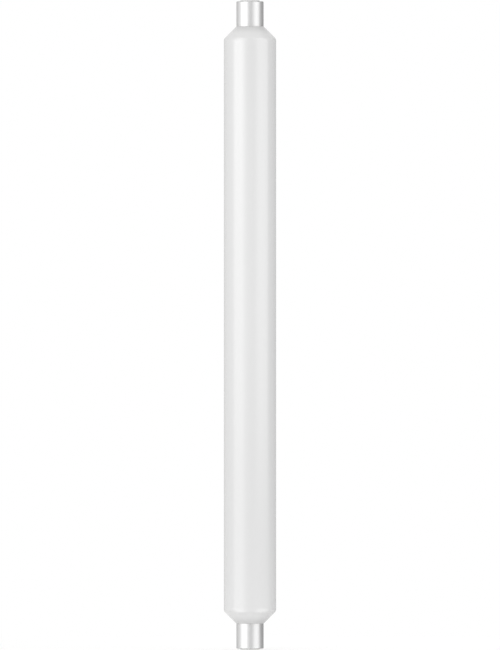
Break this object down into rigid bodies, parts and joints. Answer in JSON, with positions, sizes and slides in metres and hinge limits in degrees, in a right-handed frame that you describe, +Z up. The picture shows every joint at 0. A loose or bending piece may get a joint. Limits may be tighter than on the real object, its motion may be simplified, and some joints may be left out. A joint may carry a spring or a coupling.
{
  "type": "double-ended tubular lamp",
  "caption": "Straight opal glass tube lamp with coned shoulders, and a smooth metal cap with an insulated contact on each end.",
  "frame": {"origin": "centre of the lower end face", "axes": "+Z up along the lamp's axis; X and Y across it, all alike"},
  "size_m": [0.025, 0.025, 0.31],
  "materials": {
    "opal_glass": "opal white, glossy",
    "cap_metal": "satin, drawn",
    "insulator": "off-white, smooth",
    "contact_metal": "satin",
    "solder": "dull tin solder",
    "wire": "bare wire",
    "cement": "matte capping cement"
  },
  "bodies": {
    "root": {"opal_tube": "opal_glass", "cap_shell_bottom": "cap_metal", "cap_shell_top": "cap_metal", "cap_insulator_bottom": "insulator", "cap_insulator_top": "insulator", "end_contact_bottom": "contact_metal", "end_contact_top": "contact_metal", "solder_bead_bottom": "solder", "solder_bead_top": "solder", "lead_wire_bottom": "wire", "lead_wire_top": "wire", "cement_ring_bottom": "cement", "cement_ring_top": "cement"}
  },
  "joints": []
}
